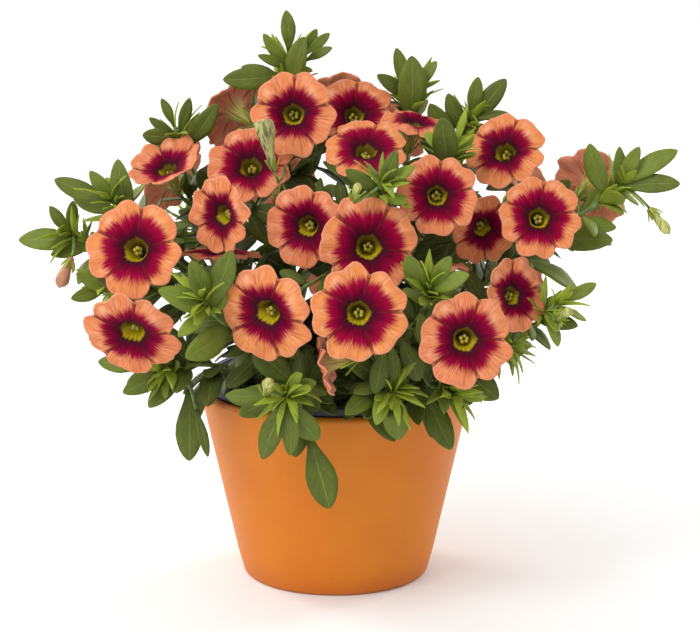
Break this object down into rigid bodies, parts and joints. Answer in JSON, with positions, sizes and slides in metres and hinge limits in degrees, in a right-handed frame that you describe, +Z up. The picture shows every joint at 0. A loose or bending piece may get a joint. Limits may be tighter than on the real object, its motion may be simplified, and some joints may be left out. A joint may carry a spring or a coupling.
{
  "type": "potted calibrachoa",
  "caption": "Potted trailing bedding plant with small orange trumpet flowers over leafy shoots, standing in a plain round tapered cover pot.",
  "frame": {"origin": "centre of the cover pot's flat base", "axes": "+Z up through the pot's axis, the pictured side faces -Y, +X to the right in the picture"},
  "size_m": [0.2581, 0.1957, 0.229],
  "materials": {
    "pot": "satin orange glaze",
    "grower_pot": "dark slate plastic",
    "soil": "crumbly potting soil",
    "leaves": "soft green leaf",
    "petals": "soft peach orange petal with a crimson eye"
  },
  "bodies": {
    "root": {"pot": "pot", "grower_pot": "grower_pot", "soil": "soil", "shoot_crown": "leaves", "shoot_crown_right": "leaves", "shoot_right_top": "leaves", "shoot_left_top": "leaves", "shoot_left_mid": "leaves", "shoot_left_far": "leaves", "shoot_left_low": "leaves", "shoot_front_left": "leaves", "shoot_centre": "leaves", "shoot_front_right": "leaves", "shoot_right_high": "leaves", "shoot_right_front": "leaves", "shoot_right_far": "leaves", "shoot_front_low": "leaves", "shoot_front_low_right": "leaves", "shoot_right_low": "leaves", "shoot_left_bottom": "leaves", "shoot_right_bottom": "leaves", "shoot_back_left": "leaves", "shoot_back": "leaves", "shoot_back_right": "leaves", "shoot_back_low": "leaves", "bloom_top": "petals", "bloom_top_behind": "petals", "bloom_top_cupped": "petals", "bloom_top_right_edge": "petals", "bloom_upper_left": "petals", "bloom_turned_away_left": "petals", "bloom_turned_away_top": "petals", "bloom_left_cupped": "petals", "bloom_left_dark": "petals", "bloom_left_large": "petals", "bloom_left_nodding": "petals", "bloom_centre_left": "petals", "bloom_centre_large": "petals", "bloom_front_left": "petals", "bloom_front_centre": "petals", "bloom_right_upper": "petals", "bloom_right_shaded": "petals", "bloom_right_large": "petals", "bloom_right_top": "petals", "bloom_turned_away_right": "petals", "bloom_front_right": "petals", "bloom_right_dark": "petals", "bloom_edge_right": "petals", "bloom_edge_front": "petals", "bloom_edge_left": "petals", "bloom_back_left_high": "petals", "bloom_back_left": "petals", "bloom_back_left_low": "petals", "bloom_back": "petals", "bloom_back_high": "petals", "bloom_back_right": "petals", "bloom_back_right_high": "petals", "bloom_back_right_low": "petals", "bloom_back_low": "petals"}
  },
  "joints": []
}
